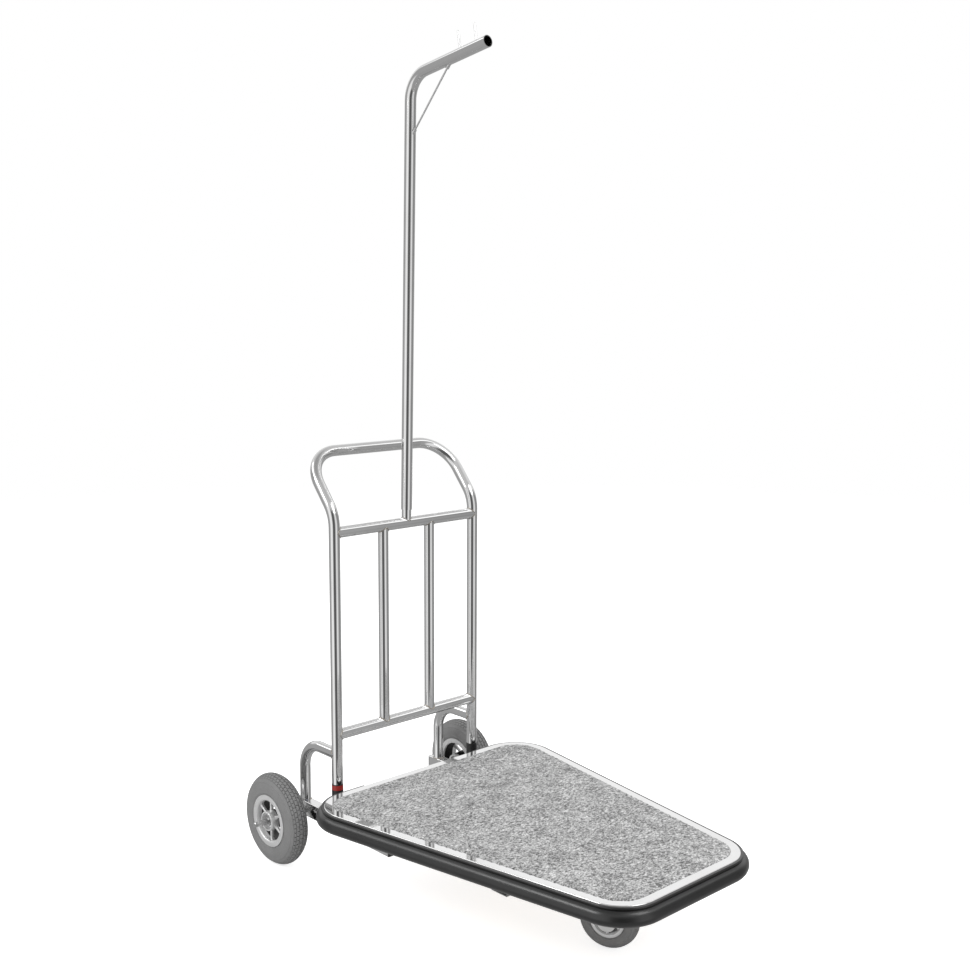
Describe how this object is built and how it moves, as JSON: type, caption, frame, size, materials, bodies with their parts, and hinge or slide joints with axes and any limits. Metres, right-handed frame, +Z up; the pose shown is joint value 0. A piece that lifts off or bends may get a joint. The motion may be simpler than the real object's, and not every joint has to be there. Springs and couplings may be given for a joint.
{
  "type": "hotel luggage cart",
  "caption": "Tapered carpeted luggage deck on large rear wheels and a front swivel caster, with a bent tube handle frame and a hanger mast.",
  "frame": {"origin": "floor level, under the middle of the whole cart", "axes": "+Z up, -Y towards the narrow front of the deck, +X to the right seen from behind the front"},
  "size_m": [0.69, 1.0941, 1.8444],
  "materials": {
    "polished_tube": "mirror polished stainless tube",
    "polished_rod": "polished stainless rod",
    "polished_trim": "bright polished strip",
    "plated_steel": "bright plated",
    "zinc_plate": "zinc plated",
    "bearing_steel": "ground",
    "frame_steel": "grey paint, satin",
    "cast_rim": "cast, machined lip",
    "tyre": "grey rubber with a block tread",
    "bumper_rubber": "smooth black rubber, satin",
    "carpet": "mottled grey loop pile",
    "deck_board": "plywood",
    "black_plastic": "matte",
    "bush_plastic": "plain",
    "printed_band": "dark film with a plain red stripe"
  },
  "bodies": {
    "chassis": {"handle_frame": "polished_tube", "upper_crossbar": "polished_tube", "lower_crossbar": "polished_tube", "left_bar": "polished_tube", "right_bar": "polished_tube", "mast_stub": "polished_tube", "left_wheel_loop": "polished_tube", "right_wheel_loop": "polished_tube", "left_rail": "polished_tube", "right_rail": "polished_tube", "left_rail_plugs": "black_plastic", "right_rail_plugs": "black_plastic", "left_axle": "plated_steel", "right_axle": "plated_steel", "left_axle_spacer": "plated_steel", "right_axle_spacer": "plated_steel", "left_axle_fasteners": "plated_steel", "right_axle_fasteners": "plated_steel", "left_label_band": "printed_band", "right_label_band": "printed_band", "deck_ring": "frame_steel", "ring_rear_tube": "frame_steel", "rear_cross_tube": "frame_steel", "middle_cross_tube": "frame_steel", "front_cross_tube": "frame_steel", "caster_rear_cross_tube": "frame_steel", "caster_front_cross_tube": "frame_steel", "rear_beam": "frame_steel", "middle_beam": "frame_steel", "front_beam": "frame_steel", "deck_board": "deck_board", "deck_carpet": "carpet", "deck_trim": "polished_trim", "bumper": "bumper_rubber", "caster_mount_plate": "zinc_plate", "caster_plate": "zinc_plate", "caster_bolts": "zinc_plate", "caster_kingpin": "zinc_plate"},
    "mast": {"mast_tube": "polished_tube", "mast_pegs": "polished_rod", "mast_brace": "polished_rod", "brace_lugs": "polished_rod"},
    "left_wheel": {"left_tyre": "tyre", "left_rim": "cast_rim", "left_bearings": "bearing_steel", "left_bearing_sleeve": "bearing_steel"},
    "right_wheel": {"right_tyre": "tyre", "right_rim": "cast_rim", "right_bearings": "bearing_steel", "right_bearing_sleeve": "bearing_steel"},
    "caster_swivel": {"caster_fork": "zinc_plate", "caster_axle_bolt": "zinc_plate", "caster_axle_nut": "zinc_plate"},
    "caster_wheel": {"caster_tyre": "tyre", "caster_rim": "cast_rim", "caster_bush": "bush_plastic"}
  },
  "joints": [
    {"name": "mast_lift", "type": "slide", "parent": "chassis", "child": "mast", "axis": [0, -0.0227, 0.9997], "range_m": [0, 0.06]},
    {"name": "left_wheel_roll", "type": "hinge", "parent": "chassis", "child": "left_wheel", "pos_m": [-0.285, 0.442, 0.105], "axis": [1, 0, 0], "continuous": true},
    {"name": "right_wheel_roll", "type": "hinge", "parent": "chassis", "child": "right_wheel", "pos_m": [0.285, 0.442, 0.105], "axis": [1, 0, 0], "continuous": true},
    {"name": "caster_swivel_turn", "type": "hinge", "parent": "chassis", "child": "caster_swivel", "pos_m": [0, -0.378, 0.14], "axis": [0, 0, 1], "continuous": true},
    {"name": "caster_wheel_roll", "type": "hinge", "parent": "caster_swivel", "child": "caster_wheel", "pos_m": [-0.0183, -0.33689, 0.0625], "axis": [0.9135, 0.4067, 0], "continuous": true}
  ]
}
